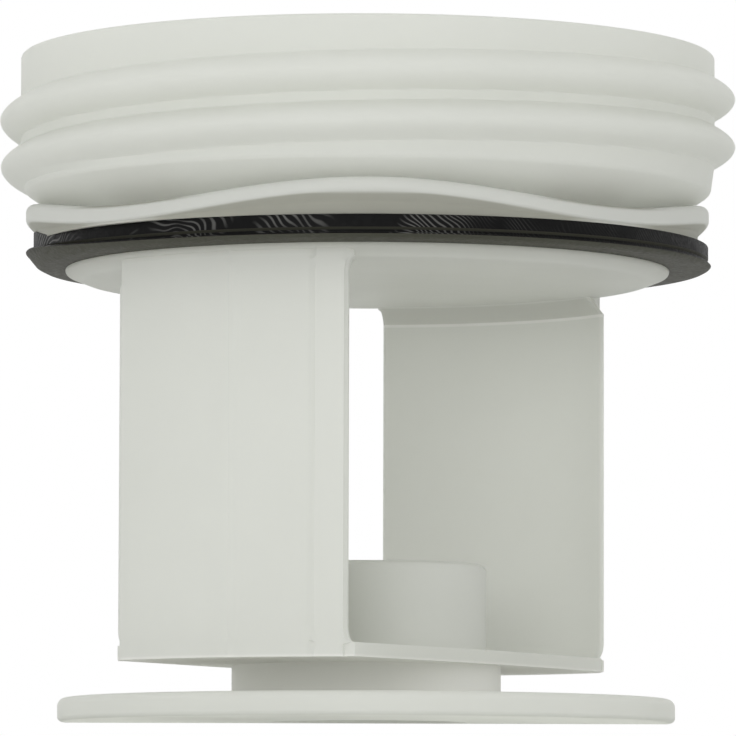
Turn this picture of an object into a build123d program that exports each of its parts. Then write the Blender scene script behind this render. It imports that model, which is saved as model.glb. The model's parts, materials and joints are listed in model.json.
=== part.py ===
from build123d import *

import os
from math import acos, cos, degrees, hypot, radians, sin, tan

# Lint filter of a washing machine's drain pump, standing on its end disc with the screw cap up.
# One moulded body carries one rubber seal ring. The origin is the middle of the end disc's underside.
# All sizes are in millimetres and all angles in degrees, counted from +X towards +Y.

# End disc and the hub that carries the floor plate
disc_diameter = 62.8
disc_thickness = 2.4
disc_edge_bevel = 0.8
hub_diameter = 27.4
hub_height = 3.3

# Floor plate and the drum that stands on it
plate_thickness = 1.4
plate_margin = 0.1
plate_overhang = 1.5
drum_diameter = 24.4
drum_height = 8.9
drum_edge_bevel = 0.6
drum_wall = 2.2
drum_roof = 2.0

# Two curved side walls between the floor plate and the plug, facing each other
panel_inset = 0.45
panel_height = 37.7
panel_wall = 2.2
panel_corner = 0.4
panel_start_angle = 36.0
panel_end_angle = 86.5
front_turn_angle = 180.0
root_spread = 0.75
root_height = 1.7
crown_spread = 1.8
crown_height = 1.8
end_spread = 0.65
rib_start_angle = 238.6
rib_end_angle = 244.4
strip_start_angle = 259.8
strip_end_angle = 265.7
rib_height = 0.3

# Plug, and the groove that holds the seal ring
plug_diameter = 61.7
plug_height = 1.3
plug_edge_rise = 0.9
plug_edge_run = 2.0
groove_depth = 0.6

# Wavy collar above the groove
collar_diameter = 69.8
collar_height = 2.85
collar_bevel = 0.6
wave_height = 1.0
wave_count = 4
steps_per_wave = 8
bead_height = 1.4
bead_bevel = 0.4
bead_lean_angle = 24.0

# Screw cup with its grip bar
cup_height = 13.9
cup_wall = 2.4
cup_floor = 2.0
cup_edge_bevel = 0.4
foot_inset = 0.4
foot_taper = 3.0
foot_bevel = 0.8
undercut_angle = 34.0
neck_height = 2.3
bar_width = 6.0
bar_draft_angle = 2.0
bar_drop = 3.0
bar_round = 2.2

# Right-hand thread on the cup, one start
thread_diameter = 75.2
thread_pitch = 4.93
thread_first_height = 2.0
thread_start_angle = 165.0
thread_end_angle = 732.0
ridge_height = 2.1
ridge_base = 4.25
ridge_flats = 5
ridge_sink = 0.8
ridge_overlap = 0.1

# Seal ring
seal_width = 4.0
seal_height = 2.4
seal_fit = 0.1
lip_reach = 0.65
lip_height = 0.8
lip_thickness = 0.4

# Radii
plug_radius = plug_diameter / 2
panel_radius = plug_radius - panel_inset
hub_radius = hub_diameter / 2
waist_radius = hub_radius + plate_overhang
drum_radius = drum_diameter / 2
groove_radius = plug_radius - groove_depth
collar_radius = collar_diameter / 2
cup_radius = thread_diameter / 2 - ridge_height
foot_radius = cup_radius - foot_inset
bore_radius = cup_radius - cup_wall
well_radius = groove_radius - cup_wall

# Heights above the disc's underside
plate_z = disc_thickness + hub_height
panel_z = plate_z + plate_thickness
drum_z = panel_z + drum_height
plug_z = panel_z + panel_height
groove_z = plug_z + plug_height
collar_z = groove_z + seal_height
neck_z = collar_z + neck_height
foot_z = neck_z + (foot_radius - groove_radius) * tan(radians(undercut_angle))
rim_z = foot_z + cup_height

# Slack for picking edges and corners by where they are
nearness = 0.01


def undercut(radius):
    """Height of the cone under the cup at a radius."""
    return foot_z - (foot_radius - radius) * tan(radians(undercut_angle))


def polar(radius, angle, z=0.0):
    """Point at a radius and an angle about the part's axis."""
    return Vector(radius * cos(radians(angle)), radius * sin(radians(angle)), z)


def off_axis(point):
    """Distance of a point from the part's axis."""
    return hypot(point.X, point.Y)


def arc_band(inner, outer, start, end):
    """Section of a curved wall between two radii and two angles."""
    middle = (start + end) / 2
    with BuildSketch() as band:
        with BuildLine():
            outside = ThreePointArc(polar(outer, start), polar(outer, middle), polar(outer, end))
            inside = ThreePointArc(polar(inner, start), polar(inner, middle), polar(inner, end))
            Line(outside @ 0, inside @ 0)
            Line(outside @ 1, inside @ 1)
        make_face()
    return band.sketch


def side_wall(turn, inward=0.0, sideways=0.0):
    """Section of a side wall with its corners eased, spread wider on its inside and at both ends."""
    reach = degrees(sideways / panel_radius)
    first = panel_start_angle + turn - reach
    last = panel_end_angle + turn + reach
    with BuildSketch() as wall:
        add(arc_band(panel_radius - panel_wall - inward, panel_radius, first, last))
        chamfer(wall.vertices(), panel_corner)
    return wall.sketch


def floor_wing(turn):
    """Half of the floor plate: the arc under a side wall, with both edges running tangent to the waist."""
    margin = degrees((end_spread + plate_margin) / panel_radius)
    reach = degrees(acos(waist_radius / panel_radius))
    first = panel_start_angle + turn - margin
    last = panel_end_angle + turn + margin
    with BuildSketch() as wing:
        with BuildLine():
            rim = ThreePointArc(
                polar(panel_radius, first), polar(panel_radius, (first + last) / 2), polar(panel_radius, last)
            )
            leave = polar(waist_radius, last + reach)
            meet = polar(waist_radius, first - reach)
            Polyline(rim @ 1, leave, (0, 0), meet, rim @ 0)
        make_face()
        chamfer(wing.vertices().filter_by(lambda point: off_axis(point) > waist_radius + nearness), panel_corner)
    return wing.sketch


def corner(sketch, x, y):
    """Vertex of a sketch nearest to a point of its plane."""
    return sketch.vertices().sort_by_distance((x, y, 0))[0]


panel_turns = (front_turn_angle, 0)

# Hollow of the cup: a stepped bore that follows the outside, parted by the grip bar
wall_rise = cup_wall / cos(radians(undercut_angle))
with BuildPart() as cup_hollow:
    with BuildSketch(Plane.XZ):
        with BuildLine():
            Polyline(
                (0, plug_z + cup_floor),
                (well_radius, plug_z + cup_floor),
                (well_radius, undercut(well_radius) + wall_rise),
                (bore_radius, undercut(bore_radius) + wall_rise),
                (bore_radius, rim_z),
                (0, rim_z),
                close=True,
            )
        make_face()
    revolve(axis=Axis.Z)
    bar_base = bar_width + 2 * (rim_z - bar_drop - plug_z - cup_floor) * tan(radians(bar_draft_angle))
    with BuildSketch(Plane.YZ) as bar_section:
        with BuildLine():
            Polyline(
                (-bar_base / 2, plug_z + cup_floor),
                (bar_base / 2, plug_z + cup_floor),
                (bar_width / 2, rim_z - bar_drop),
                (-bar_width / 2, rim_z - bar_drop),
                close=True,
            )
        make_face()
        fillet(bar_section.vertices().group_by(Axis.Y)[-1], bar_round)
    extrude(amount=cup_radius, both=True, mode=Mode.SUBTRACT)

# Collar: a bead whose top runs up and down round the cap, trimmed flat where the seal bears on it
collar_inside = collar_radius - groove_radius + cup_wall / 2
collar_depth = collar_height + 2 * wave_height
wave_steps = steps_per_wave * wave_count
wave_angles = [360 * step / wave_steps for step in range(wave_steps)]
wave_points = [
    polar(collar_radius, angle, collar_z + collar_height + wave_height * cos(radians(wave_count * angle)))
    for angle in wave_angles
]
wave = Spline(wave_points, periodic=True)
with BuildPart() as collar:
    # The bead's sketch counts outwards and downwards from the crest of the wave at +X
    with BuildSketch(Plane(origin=wave @ 0, x_dir=(1, 0, 0), z_dir=(0, 1, 0))) as bead:
        with BuildLine():
            Polyline(
                (-collar_inside, 0),
                (0, 0),
                (0, bead_height),
                (-(collar_depth - bead_height) * tan(radians(bead_lean_angle)), collar_depth),
                (-collar_inside, collar_depth),
                close=True,
            )
        make_face()
        chamfer(corner(bead, 0, 0), collar_bevel)
        chamfer(corner(bead, 0, bead_height), bead_bevel)
    sweep(path=wave, binormal=wave.moved(Location((0, 0, 1))))
    split(bisect_by=Plane.XY.offset(collar_z), keep=Keep.TOP)

# Thread ridge: a half-round section in flats, carried along a helix with its foot inside the cup's wall
thread_turns = (thread_end_angle - thread_start_angle) / 360
thread_z = foot_z + thread_first_height
thread_path = Helix(thread_pitch, thread_pitch * thread_turns, cup_radius, center=(0, 0, thread_z))
thread_path = thread_path.rotate(Axis.Z, thread_start_angle)
ridge_plane = Plane(origin=thread_path @ 0, x_dir=polar(1, thread_start_angle), z_dir=thread_path % 0)
flat_angle = radians(180 / ridge_flats)
crown_reach = ridge_height / cos(flat_angle / 2)
ridge_points = [
    (crown_reach * sin(flat_angle * flat), -ridge_base / 2 * cos(flat_angle * flat))
    for flat in range(1, ridge_flats)
]
flank_reach, flank_z = ridge_points[-1]
ridge_foot = ridge_base / 2 + ridge_overlap * (ridge_base / 2 - flank_z) / flank_reach
with BuildPart() as thread:
    with BuildSketch(ridge_plane):
        with BuildLine():
            Polyline(
                (-ridge_sink, -ridge_foot),
                (-ridge_overlap, -ridge_foot),
                *ridge_points,
                (-ridge_overlap, ridge_foot),
                (-ridge_sink, ridge_foot),
                close=True,
            )
        make_face()
    sweep(path=thread_path, is_frenet=True)

with BuildPart() as filter_body:
    # Cap turned as one section: plug, seal groove, undercut and cup
    with BuildSketch(Plane.XZ) as cap_section:
        with BuildLine():
            Polyline(
                (0, plug_z),
                (plug_radius - plug_edge_run, plug_z),
                (plug_radius, plug_z + plug_edge_rise),
                (plug_radius, groove_z),
                (groove_radius, groove_z),
                (groove_radius, neck_z),
                (foot_radius, foot_z),
                (cup_radius, foot_z + foot_taper),
                (cup_radius, rim_z),
                (0, rim_z),
                close=True,
            )
        make_face()
        chamfer(corner(cap_section, foot_radius, foot_z), foot_bevel)
        chamfer(corner(cap_section, cup_radius, rim_z), cup_edge_bevel)
    revolve(axis=Axis.Z)
    add(collar.part)
    add(thread.part)
    add(cup_hollow.part, mode=Mode.SUBTRACT)

    # End disc, hub and drum turned as one section, cored from below
    with BuildSketch(Plane.XZ) as end_section:
        with BuildLine():
            Polyline(
                (drum_radius - drum_wall, 0),
                (disc_diameter / 2, 0),
                (disc_diameter / 2, disc_thickness),
                (hub_radius, disc_thickness),
                (hub_radius, panel_z),
                (drum_radius, panel_z),
                (drum_radius, drum_z),
                (0, drum_z),
                (0, drum_z - drum_roof),
                (drum_radius - drum_wall, drum_z - drum_roof),
                close=True,
            )
        make_face()
        chamfer(corner(end_section, disc_diameter / 2, disc_thickness), disc_edge_bevel)
        chamfer(corner(end_section, drum_radius, drum_z), drum_edge_bevel)
    revolve(axis=Axis.Z)

    # Floor plate in two wings, narrowest at the hub
    with BuildSketch(Plane.XY.offset(plate_z)):
        Circle(waist_radius)
        for turn in panel_turns:
            add(floor_wing(turn))
        Circle(drum_radius - drum_wall / 2, mode=Mode.SUBTRACT)
    extrude(amount=plate_thickness)

    # Side walls from the plate's underside into the plug's rounded edge
    with BuildSketch(Plane.XY.offset(plate_z)):
        for turn in panel_turns:
            add(side_wall(turn))
    extrude(amount=groove_z - plate_z)

    # Spread root and crown of each wall, the crown carried on into the plug
    for turn in panel_turns:
        with BuildSketch(Plane.XY.offset(panel_z)):
            add(side_wall(turn, root_spread, end_spread))
        with BuildSketch(Plane.XY.offset(panel_z + root_height)):
            add(side_wall(turn))
        loft(ruled=True)
        with BuildSketch(Plane.XY.offset(plug_z - crown_height)):
            add(side_wall(turn))
        with BuildSketch(Plane.XY.offset(plug_z)):
            add(side_wall(turn, crown_spread, end_spread))
        loft(ruled=True)
        with BuildSketch(Plane.XY.offset(plug_z)):
            add(side_wall(turn, crown_spread, end_spread))
        extrude(amount=plug_height)

    # Raised rib down the front wall, and a strip along its free edge
    rib_root = panel_radius - panel_wall / 2
    with BuildSketch(Plane.XY.offset(plate_z)):
        for start, end in ((rib_start_angle, rib_end_angle), (strip_start_angle, strip_end_angle)):
            add(arc_band(rib_root, panel_radius + rib_height, start, end))
    extrude(amount=groove_z - plate_z)

filter_body.part.label = "filter_body"

# Seal ring: a square band in the groove with a lip at its foot that flares out to a thin edge
seal_inside = groove_radius + seal_fit
seal_radius = seal_inside + seal_width
with BuildPart() as seal_ring:
    with BuildSketch(Plane.XZ) as seal_section:
        with BuildLine():
            Polyline(
                (seal_inside, groove_z),
                (seal_radius, groove_z),
                (seal_radius + lip_reach, groove_z + lip_height),
                (seal_radius, groove_z + lip_thickness),
                (seal_radius, collar_z),
                (seal_inside, collar_z),
                close=True,
            )
        make_face()
    revolve(axis=Axis.Z)

seal_ring.part.label = "seal_ring"

os.makedirs("parts", exist_ok=True)
export_step(filter_body.part, "parts/filter_body.step")
export_step(seal_ring.part, "parts/seal_ring.step")
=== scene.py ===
"""Looks, light and camera for the lint filter.

Lengths are in millimetres unless a line says metres, and angles are in degrees about the part's axis.
"""
import json
import math

import bmesh
import bpy
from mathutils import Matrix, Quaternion, Vector

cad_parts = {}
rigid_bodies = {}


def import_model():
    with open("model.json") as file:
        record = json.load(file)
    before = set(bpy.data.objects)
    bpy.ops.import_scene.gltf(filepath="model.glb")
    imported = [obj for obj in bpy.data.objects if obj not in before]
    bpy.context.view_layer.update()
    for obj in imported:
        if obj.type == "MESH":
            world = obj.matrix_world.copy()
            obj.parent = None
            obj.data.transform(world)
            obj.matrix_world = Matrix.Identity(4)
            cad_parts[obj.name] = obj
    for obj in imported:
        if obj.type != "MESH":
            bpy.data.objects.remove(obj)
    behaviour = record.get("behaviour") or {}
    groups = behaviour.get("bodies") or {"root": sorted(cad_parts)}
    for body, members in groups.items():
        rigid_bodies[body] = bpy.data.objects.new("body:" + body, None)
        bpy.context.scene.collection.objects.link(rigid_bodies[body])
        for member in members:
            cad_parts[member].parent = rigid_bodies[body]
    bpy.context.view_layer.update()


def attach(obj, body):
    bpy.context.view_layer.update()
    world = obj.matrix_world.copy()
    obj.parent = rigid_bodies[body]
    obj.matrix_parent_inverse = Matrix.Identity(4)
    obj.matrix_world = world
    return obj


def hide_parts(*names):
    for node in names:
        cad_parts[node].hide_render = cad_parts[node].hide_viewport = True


MM = 0.001

# Camera in metres, apart from its sensor: where the photograph was taken from
camera_distance = 0.655
camera_height = -0.016
camera_aside = 0.0001
camera_near = 0.01
camera_roll = 0.16
aim_height = 0.0362
picture_width = 0.0752
sensor_width = 36.0

# Light: a lamp in metres and watts, and the surroundings
key_lamp = dict(place=(-0.2, -0.95, 0.1), width=0.4, power=2.1)
ambient_strength = 0.81

# Steps of round forms, and how shells meet
turn_steps = 288
arc_steps = 6
sharp_angle = 32.0
shell_lap = 0.03
hair = 0.01

# End disc, hub and drum
disc_radius = 31.4
disc_thickness = 2.4
disc_round = 0.85
disc_foot_round = 0.5
hub_radius = 13.7
hub_round = 0.2
hub_foot_round = 0.3
hub_lap = 0.5
drum_radius = 12.2
drum_top = 16.0
drum_round = 0.7
core_radius = 10.0
core_top = 14.0
core_round = 0.5
core_foot_round = 0.3

# Floor plate
plate_bottom = 5.7
plate_top = 7.1
plate_margin = 0.1
waist_radius = 15.2
waist_steps = 6

# Side walls
wall_radius = 30.4
wall_thickness = 2.2
wall_start = 36.0
wall_end = 86.5
wall_round = 0.4
wall_round_steps = 4
wall_steps = 56
root_spread = 0.75
root_height = 1.7
root_lap = 0.2
crown_spread = 1.8
crown_height = 1.8
crown_foot = 43.0
crown_lap = 0.1
end_spread = 0.65
end_slant = 5.8
fillet_steps = 7
front_turn = 180.0

# Rib and edge strip on the front wall
rib_start = 238.6
rib_end = 244.4
strip_start = 259.8
strip_end = 266.5
rib_height = 0.3
rib_soft_edge = 5.0
rib_crisp_edge = 0.3

# Plug and seal groove
plug_bottom = 44.8
plug_radius = 30.85
plug_flat_radius = 28.6
plug_flat_round = 3.2
plug_shoulder = 45.65
plug_shoulder_round = 0.5
plug_edge_round = 0.06
groove_bottom = 46.1
groove_radius = 30.25
groove_top = 48.5

# Undercut, and the cup with its hollow
neck_top = 50.8
foot_radius = 35.1
foot_z = 54.07
foot_top = 57.07
foot_round = 0.9
cup_radius = 35.5
cup_rows = 84
rim_z = 67.97
rim_round = 0.35
rim_clear = 0.5
mouth_round = 0.5
bore_radius = 33.1
bore_bottom = 55.62
well_radius = 27.85
well_top = 52.08
well_bottom = 46.8
well_round = 0.8

# Grip bar across the cup
bar_width = 6.0
bar_foot_width = 7.27
bar_top = 64.97
bar_round = 2.2
bar_sink = 1.0

# Collar
collar_radius = 34.9
collar_height = 2.85
collar_top_round = 0.7
wave_height = 1.0
wave_count = 4
swing_height = 0.2
swing_count = 2
bead_height = 1.25
bead_swing = 0.45
bead_round = 0.8
bead_lean = 26.0
cove_share = 0.55
cove_round = 0.3

# Thread
thread_pitch = 4.93
thread_z = 56.07
thread_start = 165.0
thread_end = 732.0
thread_fade = 4.0
ridge_height = 2.09
ridge_base = 3.9
ridge_power = 1.95

# Seal ring: a square band with a thin lip at its foot, pushed a little to one side
seal_inside = 30.35
seal_outside = 34.47
seal_shift = 0.36
seal_edge = 0.12
heel_inset = 0.2
crease_depth = 0.25
lip_radius = 35.0
lip_height = 0.55
lip_root = 0.75
lip_nose = 0.12
lip_shift_share = 0.3

# Where the seal's lip is lifted and its top has ridden up
lift_angle = 183.0
lip_lift = 1.2
lip_lift_spread = 28.0
root_lift_share = 0.5
heel_lift_share = 0.25
ride_height = 1.3
ride_spread = 13.0
ride_inside = 33.85

# Floor just under the part, with a painted glow where the disc hides it
floor_drop = 0.2
floor_width = 6000.0
floor_glow = 0.36
glow_edge = (disc_radius - 0.8, disc_radius - 0.3)
patch_radius = disc_radius + 1.0
patch_front = -5.0
floor_noise = {"Scale": 6.0, "Detail": 3.0}
floor_darker = (0.9, 0.9, 0.9, 1.0)
floor_paler = (0.94, 0.94, 0.94, 1.0)
floor_roughness = 0.8

# Plastic
plastic_darker = (0.785, 0.8, 0.755, 1.0)
plastic_paler = (0.815, 0.83, 0.785, 1.0)
# Painted shade: the colour the plastic takes where shade falls beside the seal and at the walls' crowns
plastic_painted_shade = (0.42, 0.42, 0.36, 1.0)
# Painted light: paler colour on the hub between the disc and the plate, and a painted highlight line at the
# foot of each wall's crown
plastic_painted_light = (0.95, 0.95, 0.92, 1.0)
plastic_through = (0.96, 0.96, 0.93, 1.0)
through_share = 0.35
plastic_roughness = (0.4, 0.52)
plastic_shine = 0.15
cloud_noise = {"Scale": 55.0, "Detail": 4.0, "Roughness": 0.55}
sheen_noise = {"Scale": 240.0, "Detail": 3.0}
grain_noise = {"Scale": 2600.0, "Detail": 2.0}
grain_strength = 0.1
grain_depth = 0.05

# Bands of painted shade and painted light on the plastic, each between two radii or two heights
hollow_reach = (collar_radius - 0.3, collar_radius - 0.1)
hollow_top = (neck_top - 0.4, neck_top - 0.1)
plug_band = (plug_bottom + 0.2, groove_bottom - 0.1)
plug_band_share = 0.5
cove_band = (groove_bottom + 0.5, groove_top - 0.1)
cove_band_share = 0.5
inner_reach = (wall_radius - wall_thickness + 0.2, wall_radius - wall_thickness + 0.4)
crown_band = (crown_foot, crown_foot + 0.1)
crown_band_top = (plug_bottom - 0.2, plug_bottom - 0.1)
crown_band_share = 0.35
crown_highlight_line = (crown_foot - 0.3, crown_foot - 0.2)
gap_foot = (disc_thickness - 0.1, disc_thickness + 0.2)
gap_top = (plate_bottom + 0.05, plate_bottom + 0.3)

# Rubber: pale flow marks on the upright side, and painted light on the underside, told by how far a face
# looks down
rubber_black = (0.003, 0.003, 0.003, 1.0)
# Painted light: the lighter colour of faces that look down, standing in for light from below
rubber_underside_light = (0.065, 0.065, 0.05, 1.0)
rubber_mark = (0.11, 0.11, 0.105, 1.0)
rubber_roughness = (0.45, 0.65)
rubber_shine = 0.1
swirl_noise = {"Scale": 900.0, "Detail": 3.0, "Distortion": 2.5}
swirl_strength = 0.25
swirl_depth = 0.08
flow_wave = {"Scale": 950.0, "Distortion": 22.0, "Detail": 1.0, "Detail Scale": 0.25}
flow_range = (0.6, 0.95)
patch_noise = {"Scale": 130.0, "Detail": 2.0}
patch_range = (0.44, 0.6)
upright_tilt = (-0.2, -0.35)
underside_light_tilt = (-0.35, -0.8)
flow_fade = (5.0 * MM, 15.0 * MM)
flow_faint = 0.25

# Values that the materials share
noise_range = (0.3, 0.7)
none_to_whole = (0.0, 1.0)
white = (1.0, 1.0, 1.0, 1.0)


def clear_scene():
    """Remove whatever the program starts with."""
    for leftover in list(bpy.data.objects):
        bpy.data.objects.remove(leftover, do_unlink=True)


def smooth(mesh):
    """Smooth shading, with edges above an angle left sharp."""
    mesh.polygons.foreach_set("use_smooth", [True] * len(mesh.polygons))
    mesh.set_sharp_from_angle(angle=math.radians(sharp_angle))


def new_object(name, shell, material):
    """Smooth mesh object from a shell, which is its vertices and its faces."""
    vertices, faces = shell
    mesh = bpy.data.meshes.new(name)
    mesh.from_pydata([tuple(MM * value for value in vertex) for vertex in vertices], [], faces)
    work = bmesh.new()
    work.from_mesh(mesh)
    bmesh.ops.recalc_face_normals(work, faces=work.faces)
    work.to_mesh(mesh)
    work.free()
    smooth(mesh)
    mesh.materials.append(material)
    mesh.update()
    built = bpy.data.objects.new(name, mesh)
    bpy.context.scene.collection.objects.link(built)
    return built


def polar(radius, angle, z):
    """Point at a radius and an angle about the part's axis."""
    turn = math.radians(angle)
    return (radius * math.cos(turn), radius * math.sin(turn), z)


def rounded(corners):
    """Outline through (x, y, radius) corners, each corner replaced by an arc of its radius."""
    outline = []
    for i, (x, y, radius) in enumerate(corners):
        here = Vector((x, y))
        if radius == 0:
            outline.append((x, y))
            continue
        before = (Vector(corners[i - 1][:2]) - here).normalized()
        after = (Vector(corners[(i + 1) % len(corners)][:2]) - here).normalized()
        half = before.angle(after) / 2
        centre = here + (before + after).normalized() * (radius / math.sin(half))
        spoke = here + before * (radius / math.tan(half)) - centre
        way = 1 if before.x * after.y - before.y * after.x < 0 else -1
        for step in range(arc_steps + 1):
            turn = way * (math.pi - 2 * half) * step / arc_steps
            x_on = spoke.x * math.cos(turn) - spoke.y * math.sin(turn)
            y_on = spoke.x * math.sin(turn) + spoke.y * math.cos(turn)
            outline.append((centre.x + x_on, centre.y + y_on))
    return outline


def bands(rings, closed=False):
    """Faces between neighbouring rings of vertex numbers, with doubled corners taken once."""
    faces = []
    pairs = list(zip(rings, rings[1:]))
    if closed:
        pairs.append((rings[-1], rings[0]))
    for low, high in pairs:
        for i in range(len(low)):
            j = (i + 1) % len(low)
            faces.append(tuple(dict.fromkeys((low[i], low[j], high[j], high[i]))))
    return faces


def lathe(outline):
    """Shell of an outline of (radius, height) points, from axis to axis, turned about the axis."""
    vertices = []
    rings = []
    for radius, z in outline:
        first = len(vertices)
        if radius == 0:
            vertices.append((0.0, 0.0, z))
            rings.append([first] * turn_steps)
        else:
            vertices += [polar(radius, 360.0 * step / turn_steps, z) for step in range(turn_steps)]
            rings.append(list(range(first, first + turn_steps)))
    return vertices, bands(rings)


def ring(section):
    """Shell of a section that is a function of the angle, carried round the axis."""
    vertices = []
    on_axis = {}
    columns = []
    for step in range(turn_steps):
        angle = 360.0 * step / turn_steps
        column = []
        for radius, z in section(angle):
            if radius == 0 and z in on_axis:
                column.append(on_axis[z])
                continue
            if radius == 0:
                on_axis[z] = len(vertices)
            column.append(len(vertices))
            vertices.append(polar(radius, angle, z))
        columns.append(column)
    return vertices, [face for face in bands(columns, closed=True) if len(face) > 2]


def stack(levels):
    """Shell through outlines of equally many points, one above the other, closed at both ends."""
    vertices = []
    rings = []
    for level in levels:
        first = len(vertices)
        vertices += level
        rings.append(list(range(first, len(vertices))))
    return vertices, bands(rings) + [tuple(rings[0]), tuple(reversed(rings[-1]))]


def end_shell():
    """End disc, hub and drum, cored from below."""
    return lathe(rounded([
        (0.0, drum_top, 0),
        (drum_radius, drum_top, drum_round),
        (drum_radius, plate_top - hub_lap, 0),
        (hub_radius, plate_top - hub_lap, hub_round),
        (hub_radius, disc_thickness, hub_foot_round),
        (disc_radius, disc_thickness, disc_round),
        (disc_radius, 0.0, disc_foot_round),
        (core_radius, 0.0, core_foot_round),
        (core_radius, core_top, core_round),
        (0.0, core_top, 0),
    ]))


def ridge_rise(angle, z):
    """How far the thread stands out from the cup at an angle and a height."""
    rise = 0.0
    turn = angle
    while turn <= thread_end:
        if turn >= thread_start:
            middle = thread_z + thread_pitch * (turn - thread_start) / 360.0
            away = abs(z - middle) / (ridge_base / 2)
            to_end = math.radians(min(turn - thread_start, thread_end - turn)) * cup_radius
            swell = math.sin(math.pi / 2 * min(1.0, to_end / thread_fade))
            rise = max(rise, ridge_height * swell * (1 - min(1.0, away) ** ridge_power))
        turn += 360.0
    return rise


def cap_section(angle):
    """Outline at an angle of the plug, seal groove, wavy collar, undercut and threaded cup."""
    turn = math.radians(angle)
    wave = wave_height * math.cos(wave_count * turn) + swing_height * math.cos(swing_count * turn)
    top = groove_top + collar_height + wave
    rise = top - bead_height - bead_swing * math.cos(turn) ** 2 - groove_top
    share = rise / (collar_height + wave_height - bead_height)
    waist = collar_radius - rise * math.tan(math.radians(bead_lean))
    slope = (foot_radius - groove_radius) / (foot_z - neck_top)
    meet = groove_radius + max(0.0, top - neck_top) * slope
    below = rounded([
        (0.0, plug_bottom, 0),
        (plug_flat_radius, plug_bottom, plug_flat_round),
        (plug_radius, plug_shoulder, plug_shoulder_round),
        (plug_radius, groove_bottom, plug_edge_round),
        (groove_radius, groove_bottom, 0),
        (groove_radius, groove_top, 0),
        (waist, groove_top, 0),
        (waist, groove_top + rise * cove_share, cove_round * share),
        (collar_radius, groove_top + rise, bead_round * share),
        (collar_radius, top, collar_top_round),
        (meet, top, 0),
        (meet, max(top, neck_top) + hair, 0),
        (foot_radius, foot_z, foot_round),
        (cup_radius, foot_top, 0),
    ])[:-1]
    first = foot_z + foot_round
    last = rim_z - rim_clear
    lean = (cup_radius - foot_radius) / (foot_top - foot_z)
    for row in range(cup_rows + 1):
        z = first + (last - first) * row / cup_rows
        below.append((min(cup_radius, foot_radius + lean * (z - foot_z)), z))
    outside = [(radius + (ridge_rise(angle, z) if z > foot_z else 0.0), z) for radius, z in below]
    return outside + hollow_outline()


def hollow_outline():
    """Outline of the cup from its rim down to the middle of its well."""
    return rounded([
        (cup_radius, foot_top, 0),
        (cup_radius, rim_z, rim_round),
        (bore_radius, rim_z, mouth_round),
        (bore_radius, bore_bottom, well_round),
        (well_radius, well_top, well_round),
        (well_radius, well_bottom, well_round),
        (0.0, well_bottom, 0),
    ])[1:]


def bar_shell():
    """Grip bar across the cup, narrower at its rounded top, with its ends in the cup's wall."""
    def reach(z):
        """Half length of the bar at a height."""
        share = min(1.0, max(0.0, (z - well_top) / (bore_bottom - well_top)))
        return well_radius + (bore_radius - well_radius) * share + bar_sink

    def half_width(z):
        """Half width of the bar at a height."""
        share = (z - well_bottom) / (bar_top - well_bottom)
        return (bar_foot_width + (bar_width - bar_foot_width) * share) / 2

    heights = [well_bottom - bar_sink, well_top, bore_bottom]
    section = rounded(
        [(half_width(z), z, 0) for z in heights]
        + [(half_width(bar_top), bar_top, bar_round), (-half_width(bar_top), bar_top, bar_round)]
        + [(-half_width(z), z, 0) for z in reversed(heights)]
    )
    count = len(section)
    vertices = [(way * reach(z), y, z) for way in (-1, 1) for y, z in section]
    faces = bands([list(range(count)), list(range(count, 2 * count))])
    for first in (0, count):
        last = first + count - 1
        faces += [(first + i, first + i + 1, last - i - 1, last - i) for i in range(count // 2 - 1)]
    return vertices, faces


def plate_shell():
    """Floor plate: an arc under each wall, drawn in to a waist at the hub."""
    rim = wall_radius - shell_lap
    corner = wall_radius - wall_thickness
    first = wall_start - math.degrees(plate_margin / wall_radius)
    last = wall_end + math.degrees((end_spread + plate_margin) / wall_radius)
    corner_angle = first - end_slant
    waist_first = last + math.degrees(math.acos(waist_radius / rim))
    waist_last = corner_angle + 180.0 - math.degrees(math.acos(waist_radius / corner))
    outline = []
    for turn in (0.0, front_turn):
        outline.append((corner, turn + corner_angle))
        for step in range(wall_steps + 1):
            outline.append((rim, turn + first + (last - first) * step / wall_steps))
        for step in range(waist_steps + 1):
            angle = waist_first + (waist_last - waist_first) * step / waist_steps
            outline.append((waist_radius, turn + angle))
    heights = (plate_bottom + shell_lap, plate_top)
    return stack([[polar(radius, angle, z) for radius, angle in outline] for z in heights])


def rib_rise(angle):
    """How far the front wall's rib and edge strip stand out at an angle."""
    rise = 0.0
    for start, end, rising, falling in (
        (rib_start, rib_end, rib_soft_edge, rib_crisp_edge),
        (strip_start, strip_end, rib_crisp_edge, rib_crisp_edge),
    ):
        inside = min((angle - start) / rising, (end - angle) / falling)
        rise = max(rise, rib_height * min(1.0, max(0.0, inside)))
    return rise


def wall_outline(turn, inward, sideways):
    """Outline of a side wall as (radius, angle) points, with its corners rounded."""
    ease = math.degrees(wall_round / wall_radius)
    first = wall_start + turn
    last = wall_end + turn + math.degrees(sideways / wall_radius)
    inner = wall_radius - wall_thickness - inward
    inner_first = first - end_slant
    quarter = [math.pi / 2 * step / wall_round_steps for step in range(wall_round_steps + 1)]
    near = [(wall_radius - wall_round * (1 - math.cos(q)), ease * (1 - math.sin(q))) for q in quarter[1:]]
    far = [(inner + wall_round * (1 - math.sin(q)), ease * (1 - math.cos(q))) for q in quarter]
    outline = []
    for step in range(wall_steps + 1):
        angle = first + ease + (last - first - 2 * ease) * step / wall_steps
        outline.append((wall_radius + rib_rise(angle), angle))
    outline += [(radius, last - back) for radius, back in near + far]
    for step in range(1, wall_steps):
        outline.append((inner, last - ease + (inner_first - last + 2 * ease) * step / wall_steps))
    outline += [(radius, inner_first + back) for radius, back in reversed(far)]
    outline += [(radius, first + back) for radius, back in reversed(near)]
    return outline


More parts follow.
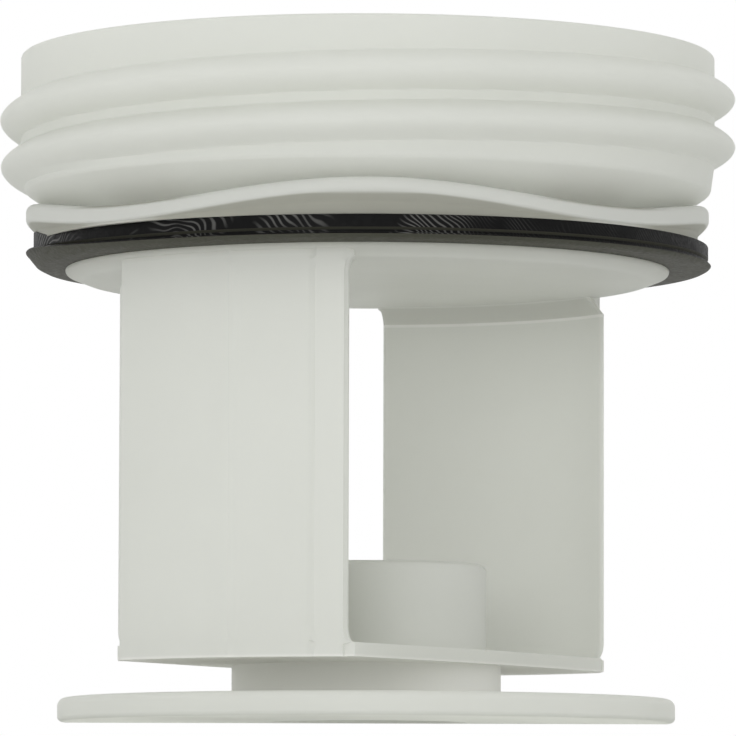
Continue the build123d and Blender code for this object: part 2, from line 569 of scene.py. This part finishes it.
def wall_shell(turn):
    """Side wall from the plate's underside into the plug, with a hollow curve at its root and crown."""
    def hollow(share):
        """Spread of a hollow curve, from whole at 0 to none at 1."""
        return 1 - math.sqrt(1 - (1 - share) ** 2)

    shares = [step / fillet_steps for step in range(fillet_steps + 1)]
    root = plate_top - shell_lap
    crown = plug_bottom + shell_lap
    levels = [(plate_bottom, 0.0, 0.0), (root - root_lap, 0.0, 0.0)]
    for share in shares:
        levels.append((root + root_height * share, root_spread * hollow(share), end_spread * hollow(share)))
    for share in reversed(shares):
        levels.append((crown - crown_height * share, crown_spread * (1 - share), end_spread * hollow(share)))
    levels.append((groove_bottom - crown_lap, crown_spread, end_spread))
    outlines = []
    for z, inward, sideways in levels:
        outlines.append([polar(radius, angle, z) for radius, angle in wall_outline(turn, inward, sideways)])
    return stack(outlines)


def seal_section(angle):
    """Outline of the seal at an angle, with a crease above its lip; one side's lip and top are lifted."""
    away = (angle - lift_angle + 180.0) % 360.0 - 180.0
    lift = lip_lift * math.exp(-((away / lip_lift_spread) ** 2))
    top = groove_top + ride_height * math.exp(-((away / ride_spread) ** 2))
    shift = seal_shift * math.cos(math.radians(angle))
    outside = seal_outside + shift
    heel = outside - heel_inset
    crease = outside - crease_depth
    ledge = min(ride_inside, heel)
    lip = lip_radius + shift * lip_shift_share
    tip = groove_bottom + lip_height + lift
    root = groove_bottom + lip_root + lift * root_lift_share
    return [
        (seal_inside, groove_bottom),
        (heel - lip_root, groove_bottom),
        (heel, groove_bottom + lip_nose + lift * heel_lift_share),
        (lip - lip_nose, tip - 2 * lip_nose),
        (lip, tip - lip_nose),
        (lip - lip_nose, tip),
        (crease, root - lip_nose),
        (crease, root + lip_nose),
        (outside - lip_nose, root + crease_depth),
        (outside, root + crease_depth + lip_nose),
        (outside, top - seal_edge),
        (outside - seal_edge / 3, top - seal_edge / 3),
        (outside - seal_edge, top),
        (ledge, top - hair),
        (ledge - hair, groove_top),
        (seal_inside, groove_top),
    ]


def new_material(name):
    """Empty material with its shader, as (material, tree, shader)."""
    material = bpy.data.materials.new(name)
    material.use_nodes = True
    tree = material.node_tree
    return material, tree, tree.nodes["Principled BSDF"]


def feed(tree, node, values):
    """Give inputs of a node a socket or a plain value each."""
    for name, value in values.items():
        if isinstance(value, bpy.types.NodeSocket):
            tree.links.new(value, node.inputs[name])
        else:
            node.inputs[name].default_value = value


def add(tree, kind, values=None, **settings):
    """Shader node with its settings and inputs."""
    node = tree.nodes.new(kind)
    for name, value in settings.items():
        setattr(node, name, value)
    feed(tree, node, values or {})
    return node


def noise(tree, place, values):
    """Noise value at a place."""
    return add(tree, "ShaderNodeTexNoise", {"Vector": place, **values}).outputs["Fac"]


def span(tree, value, source, target):
    """Value carried from one range to another, kept within it."""
    values = {"Value": value, "From Min": source[0], "From Max": source[1]}
    values.update({"To Min": target[0], "To Max": target[1]})
    return add(tree, "ShaderNodeMapRange", values).outputs["Result"]


def climb(tree, value, edge, whole=1.0):
    """Rise from none to whole between two places given in millimetres."""
    return span(tree, value, [place * MM for place in edge], (0.0, whole))


def fall(tree, value, edge, whole=1.0):
    """Fall from whole to none between two places given in millimetres."""
    return span(tree, value, [place * MM for place in edge], (whole, 0.0))


def combine(tree, operation, *values):
    """Values put together one after the other by an operation."""
    result = values[0]
    for value in values[1:]:
        result = add(tree, "ShaderNodeMath", {0: result, 1: value}, operation=operation).outputs[0]
    return result


def blend_colours(tree, share, first, second):
    """Colour between two colours; sockets 6, 7 and 2 of the node are those for colours."""
    return add(tree, "ShaderNodeMix", {0: share, 6: first, 7: second}, data_type="RGBA").outputs[2]


def blend_surfaces(tree, share, first, second):
    """Surface between two surfaces."""
    return add(tree, "ShaderNodeMixShader", {0: share, 1: first, 2: second}).outputs["Shader"]


def bump(tree, height, strength, depth):
    """Normal that follows a height whose depth is given in millimetres."""
    values = {"Height": height, "Strength": strength, "Distance": depth * MM}
    return add(tree, "ShaderNodeBump", values).outputs["Normal"]


def object_place(tree):
    """Place on the object, for textures that stay put on it."""
    return add(tree, "ShaderNodeTexCoord").outputs["Object"]


def parts_of(tree, vector):
    """Outputs X, Y and Z of a vector."""
    return add(tree, "ShaderNodeSeparateXYZ", {"Vector": vector}).outputs


def length_of(tree, vector):
    """Length of a vector."""
    return add(tree, "ShaderNodeVectorMath", {0: vector}, operation="LENGTH").outputs["Value"]


def show(tree, surface):
    """Make a surface what the material shows."""
    feed(tree, tree.nodes["Material Output"], {"Surface": surface})


def plastic_colour(tree, place):
    """Clouded white, with painted shade beside the seal and at the crown, and painted light at the crown's
    foot and on the hub between the disc and the plate.
    """
    parts = parts_of(tree, place)
    height = parts["Z"]
    flat = add(tree, "ShaderNodeCombineXYZ", {"X": parts["X"], "Y": parts["Y"]}).outputs["Vector"]
    reach = length_of(tree, flat)
    cloud = span(tree, noise(tree, place, cloud_noise), noise_range, none_to_whole)
    colour = blend_colours(tree, cloud, plastic_darker, plastic_paler)

    # Painted shade on the plug's side and in the cove under the collar's bead beside the seal, and in a band
    # at the crown of each wall's inner face
    plug = climb(tree, height, plug_band, plug_band_share)
    cove = climb(tree, height, cove_band, cove_band_share)
    beside_seal = combine(tree, "ADD", plug, cove)
    low = fall(tree, height, hollow_top)
    deep = fall(tree, reach, hollow_reach)
    hollow = combine(tree, "MULTIPLY", beside_seal, low, deep)
    inner = fall(tree, reach, inner_reach)
    crown = climb(tree, height, crown_band, crown_band_share)
    crown = combine(tree, "MULTIPLY", crown, fall(tree, height, crown_band_top), inner)
    painted_shade = combine(tree, "MAXIMUM", hollow, crown)
    colour = blend_colours(tree, painted_shade, colour, plastic_painted_shade)

    # Painted light on the hub between the disc and the plate, and a painted highlight line just below the
    # crown's band of painted shade
    gap_painted_light = combine(tree, "MULTIPLY", climb(tree, height, gap_foot), fall(tree, height, gap_top))
    line = combine(tree, "MULTIPLY", climb(tree, height, crown_highlight_line), fall(tree, height, crown_band), inner)
    return blend_colours(tree, combine(tree, "MAXIMUM", gap_painted_light, line), colour, plastic_painted_light)


def white_plastic():
    """Milky satin polypropylene with a fine moulded grain, through which some light passes."""
    material, tree, shader = new_material("white_plastic")
    place = object_place(tree)
    feed(tree, shader, {
        "Base Color": plastic_colour(tree, place),
        "Roughness": span(tree, noise(tree, place, sheen_noise), noise_range, plastic_roughness),
        "Normal": bump(tree, noise(tree, place, grain_noise), grain_strength, grain_depth),
        "Specular IOR Level": plastic_shine,
    })
    through = add(tree, "ShaderNodeBsdfTranslucent", {"Color": plastic_through}).outputs["BSDF"]
    show(tree, blend_surfaces(tree, through_share, shader.outputs["BSDF"], through))
    return material


def rubber_colour(tree, place):
    """Black with painted light on its underside, and flow marks in patches on its upright side, fainter to
    one end.
    """
    flow = add(tree, "ShaderNodeTexWave", {"Vector": place, **flow_wave}, bands_direction="DIAGONAL")
    lines = span(tree, flow.outputs["Fac"], flow_range, none_to_whole)
    patch = span(tree, noise(tree, place, patch_noise), patch_range, none_to_whole)
    tilt = parts_of(tree, add(tree, "ShaderNodeNewGeometry").outputs["Normal"])["Z"]
    upright = span(tree, tilt, upright_tilt, (1.0, 0.0))
    fade = span(tree, parts_of(tree, place)["X"], flow_fade, (1.0, flow_faint))
    # Painted light: faces that look down are made lighter, standing in for light from below
    underside_light = span(tree, tilt, underside_light_tilt, none_to_whole)
    rubber = blend_colours(tree, underside_light, rubber_black, rubber_underside_light)
    return blend_colours(tree, combine(tree, "MULTIPLY", lines, patch, upright, fade), rubber, rubber_mark)


def black_rubber():
    """Black rubber with a swirled skin."""
    material, tree, shader = new_material("black_rubber")
    place = object_place(tree)
    swirl = noise(tree, place, swirl_noise)
    feed(tree, shader, {
        "Base Color": rubber_colour(tree, place),
        "Roughness": span(tree, swirl, noise_range, rubber_roughness),
        "Normal": bump(tree, swirl, swirl_strength, swirl_depth),
        "Specular IOR Level": rubber_shine,
    })
    return material


def pale_floor():
    """Pale floor with a painted glow under the disc. From below it is clear, apart from a white half round
    under the back of the disc.
    """
    material, tree, shader = new_material("pale_floor")
    place = object_place(tree)
    reach = length_of(tree, place)
    # The emission on the top, strongest under the disc, is a painted glow that lights the disc's underside
    feed(tree, shader, {
        "Base Color": blend_colours(tree, noise(tree, place, floor_noise), floor_darker, floor_paler),
        "Roughness": floor_roughness,
        "Emission Color": white,
        "Emission Strength": fall(tree, reach, glow_edge, floor_glow),
    })
    behind = combine(tree, "GREATER_THAN", parts_of(tree, place)["Y"], patch_front * MM)
    near = combine(tree, "LESS_THAN", reach, patch_radius * MM)
    clear = add(tree, "ShaderNodeBsdfTransparent").outputs["BSDF"]
    patch = add(tree, "ShaderNodeEmission", {"Color": white, "Strength": 1.0}).outputs["Emission"]
    under = blend_surfaces(tree, combine(tree, "MULTIPLY", behind, near), clear, patch)
    below = add(tree, "ShaderNodeNewGeometry").outputs["Backfacing"]
    show(tree, blend_surfaces(tree, below, shader.outputs["BSDF"], under))
    return material


def build_body(material):
    """Moulded body that stands for the CAD body: its shells joined into one skin."""
    body = new_object("moulded_body", ring(cap_section), material)
    for shell in (wall_shell(front_turn), wall_shell(0.0), plate_shell(), end_shell(), bar_shell()):
        other = new_object("shell", shell, material)
        join = body.modifiers.new("join", "BOOLEAN")
        join.operation = "UNION"
        join.solver = "EXACT"
        join.object = other
        joined = bpy.data.meshes.new_from_object(body.evaluated_get(bpy.context.evaluated_depsgraph_get()))
        body.modifiers.clear()
        body.data = joined
        bpy.data.objects.remove(other, do_unlink=True)
    smooth(body.data)
    body.modifiers.new("even_shading", "WEIGHTED_NORMAL").keep_sharp = True
    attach(body, "root")
    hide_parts("filter_body")


def build_seal(material):
    """Rubber ring that stands for the CAD ring."""
    seal = new_object("rubber_seal", ring(seal_section), material)
    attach(seal, "root")
    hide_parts("seal_ring")


def build_floor(material):
    """Flat floor under the part, facing up."""
    half = floor_width / 2
    corners = [(x * half, y * half, -floor_drop) for x, y in ((-1, -1), (1, -1), (1, 1), (-1, 1))]
    floor = new_object("floor", (corners, [(0, 1, 2, 3)]), material)
    if floor.data.polygons[0].normal.z < 0:
        floor.data.flip_normals()


def add_lamp(name, place, width, power):
    """Large soft lamp aimed at the middle of the part."""
    data = bpy.data.lights.new(name, "AREA")
    data.shape = "DISK"
    data.size = width
    data.energy = power
    lamp = bpy.data.objects.new(name, data)
    lamp.location = place
    aim = Vector((0.0, 0.0, aim_height)) - lamp.location
    lamp.rotation_euler = aim.to_track_quat("-Z", "Y").to_euler()
    bpy.context.scene.collection.objects.link(lamp)


def add_world():
    """White surroundings for what is seen directly or mirrored, and softer ones as light."""
    world = bpy.data.worlds.new("studio")
    world.use_nodes = True
    bpy.context.scene.world = world
    tree = world.node_tree
    path = add(tree, "ShaderNodeLightPath").outputs
    seen = combine(
        tree, "MAXIMUM", path["Is Camera Ray"], path["Is Glossy Ray"], path["Is Transmission Ray"]
    )
    strength = span(tree, seen, none_to_whole, (ambient_strength, 1.0))
    feed(tree, tree.nodes["Background"], {"Color": white, "Strength": strength})


def add_camera():
    """Camera at the photograph's place, turned a little about its line of sight."""
    data = bpy.data.cameras.new("photo_camera")
    camera = bpy.data.objects.new("photo_camera", data)
    camera.location = (camera_aside, -camera_distance, camera_height)
    sight = Vector((camera_aside, 0.0, aim_height)) - camera.location
    turn = sight.to_track_quat("-Z", "Y") @ Quaternion((0.0, 0.0, 1.0), math.radians(camera_roll))
    camera.rotation_euler = turn.to_euler()
    data.sensor_width = sensor_width
    data.lens = sensor_width * sight.length / picture_width
    data.clip_start = camera_near
    bpy.context.scene.collection.objects.link(camera)
    bpy.context.scene.camera = camera


clear_scene()
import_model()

build_body(white_plastic())
build_seal(black_rubber())
build_floor(pale_floor())

bpy.context.scene.view_settings.view_transform = "Standard"
add_world()
add_lamp("key_lamp", **key_lamp)
add_camera()
